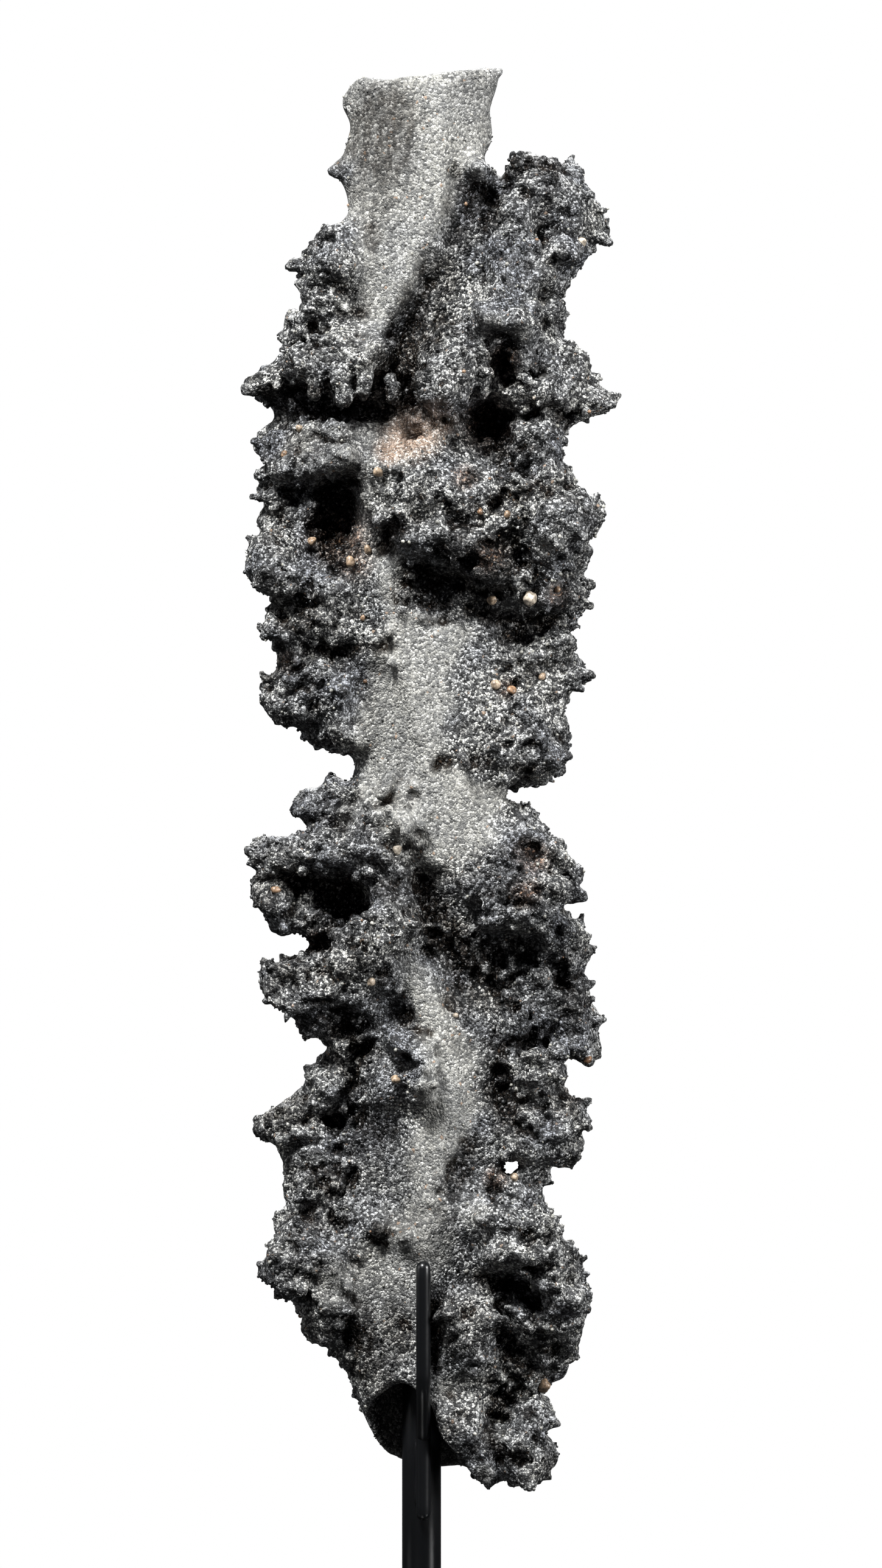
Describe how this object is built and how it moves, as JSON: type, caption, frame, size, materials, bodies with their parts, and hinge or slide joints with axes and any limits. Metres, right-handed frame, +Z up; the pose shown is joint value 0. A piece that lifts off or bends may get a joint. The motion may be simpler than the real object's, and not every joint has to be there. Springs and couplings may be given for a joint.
{
  "type": "fulgurite",
  "caption": "Natural fulgurite tube with ragged side flanges, held upright by a post in its hollow foot and a front finger on a black square base",
  "frame": {"origin": "bottom centre of the stand's base, on the post's axis", "axes": "X to the right across the flanges as seen from the front, Y to the back, Z up along the tube; the finger is in front, at -Y"},
  "size_m": [0.09, 0.09, 0.2668],
  "materials": {
    "fused_sand": "rough fused sand grains on dark lightning glass, pale and fine on the neck and the tube's front, darker and knobbly on the flanges",
    "black_paint": "satin black paint over steel"
  },
  "bodies": {
    "root": {"fulgurite": "fused_sand", "stand_post": "black_paint", "stand_finger": "black_paint", "stand_base": "black_paint"}
  },
  "joints": []
}
